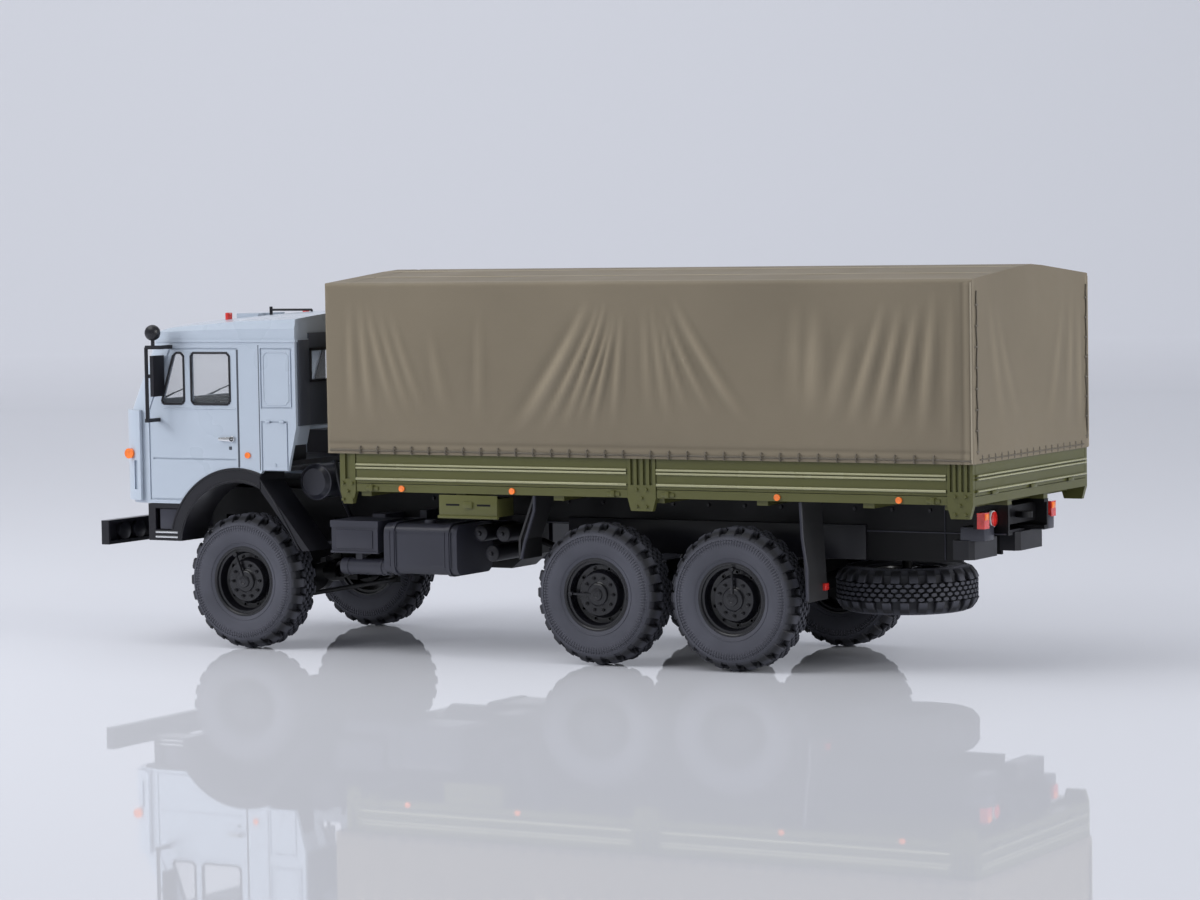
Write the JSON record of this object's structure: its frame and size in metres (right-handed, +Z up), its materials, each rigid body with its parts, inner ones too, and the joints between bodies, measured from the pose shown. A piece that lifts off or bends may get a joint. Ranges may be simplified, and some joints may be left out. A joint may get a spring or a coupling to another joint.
{
  "type": "scale model of a military cargo truck",
  "caption": "Die-cast scale model of a forward-control all-wheel-drive army cargo truck with a sleeper cab, drop-side bed and moulded tilt; its wheels roll and the front ones steer.",
  "frame": {"origin": "on the ground, at the middle of the model's length and width", "axes": "+X forward, +Y to the truck's left, +Z up"},
  "size_m": [0.2056, 0.0698, 0.0798],
  "materials": {
    "cab_paint": "gloss",
    "olive": "satin",
    "tilt": "matt",
    "chassis": "satin",
    "black_plastic": "satin",
    "dark_grey": "satin",
    "interior": "matt",
    "tyre": "matt",
    "rim": "satin",
    "rubber": "matt",
    "glass": "clear",
    "chrome": "polished",
    "lamp_clear": "gloss",
    "lamp_orange": "gloss",
    "lamp_red": "gloss"
  },
  "bodies": {
    "chassis": {"air_cleaner": "black_plastic", "air_receivers": "black_plastic", "battery_box": "dark_grey", "bed_floor": "olive", "bed_posts": "olive", "cab_glazing": "glass", "cab_interior": "interior", "cab_roof": "cab_paint", "cab_shell": "cab_paint", "door_handles": "chrome", "drive_shafts": "chassis", "engine_and_gearbox": "chassis", "frame": "chassis", "front_axle": "chassis", "front_bumper": "black_plastic", "front_mudguards": "black_plastic", "front_panel": "cab_paint", "front_springs": "chassis", "fuel_tanks": "dark_grey", "head_board": "olive", "headlamps": "lamp_clear", "marker_lamps": "lamp_orange", "middle_axle": "chassis", "mirrors": "black_plastic", "mud_flaps": "rubber", "muffler": "dark_grey", "rear_axle": "chassis", "rear_buffers": "black_plastic", "rear_lamps": "lamp_red", "rear_springs": "chassis", "roof_aerial": "black_plastic", "roof_hatch": "cab_paint", "side_boards_left": "olive", "side_boards_right": "olive", "spare_carrier": "chassis", "spare_rim": "rim", "spare_tyre": "tyre", "splash_guards": "black_plastic", "steering_wheel": "interior", "tail_board": "olive", "tilt": "tilt", "toolbox": "olive", "tow_eye": "chassis", "transfer_case": "chassis", "trunnion": "chassis"},
    "steering_left": {"knuckle_left": "chassis"},
    "wheel_front_left": {"tyre_front_left": "tyre", "rim_front_left": "rim"},
    "wheel_middle_left": {"tyre_middle_left": "tyre", "rim_middle_left": "rim"},
    "wheel_rear_left": {"tyre_rear_left": "tyre", "rim_rear_left": "rim"},
    "steering_right": {"knuckle_right": "chassis"},
    "wheel_front_right": {"tyre_front_right": "tyre", "rim_front_right": "rim"},
    "wheel_middle_right": {"tyre_middle_right": "tyre", "rim_middle_right": "rim"},
    "wheel_rear_right": {"tyre_rear_right": "tyre", "rim_rear_right": "rim"},
    "tie_rod": {"tie_rod": "chassis"}
  },
  "joints": [
    {"name": "steer_left", "type": "hinge", "parent": "chassis", "child": "steering_left", "pos_m": [0.0668, 0.019, 0.0144], "axis": [0, 0, 1], "range_deg": [-17, 17]},
    {"name": "spin_front_left", "type": "hinge", "parent": "steering_left", "child": "wheel_front_left", "pos_m": [0.0668, 0.02405, 0.0144], "axis": [0, 1, 0], "continuous": true},
    {"name": "spin_middle_left", "type": "hinge", "parent": "chassis", "child": "wheel_middle_left", "pos_m": [-0.019, 0.02405, 0.0144], "axis": [0, 1, 0], "continuous": true},
    {"name": "spin_rear_left", "type": "hinge", "parent": "chassis", "child": "wheel_rear_left", "pos_m": [-0.0497, 0.02405, 0.0144], "axis": [0, 1, 0], "continuous": true},
    {"name": "steer_right", "type": "hinge", "parent": "chassis", "child": "steering_right", "pos_m": [0.0668, -0.019, 0.0144], "axis": [0, 0, 1], "range_deg": [-17, 17]},
    {"name": "spin_front_right", "type": "hinge", "parent": "steering_right", "child": "wheel_front_right", "pos_m": [0.0668, -0.02405, 0.0144], "axis": [0, 1, 0], "continuous": true},
    {"name": "spin_middle_right", "type": "hinge", "parent": "chassis", "child": "wheel_middle_right", "pos_m": [-0.019, -0.02405, 0.0144], "axis": [0, 1, 0], "continuous": true},
    {"name": "spin_rear_right", "type": "hinge", "parent": "chassis", "child": "wheel_rear_right", "pos_m": [-0.0497, -0.02405, 0.0144], "axis": [0, 1, 0], "continuous": true},
    {"name": "tie_rod_pivot", "type": "hinge", "parent": "steering_left", "child": "tie_rod", "pos_m": [0.0573, 0.0175, 0.0127], "axis": [0, 0, 1], "range_deg": [-18.76, 18.76]}
  ],
  "couplings": [
    {"joint": "steer_right", "follows": "steer_left", "ratio": 1},
    {"joint": "tie_rod_pivot", "follows": "steer_left", "ratio": -1.0857}
  ]
}
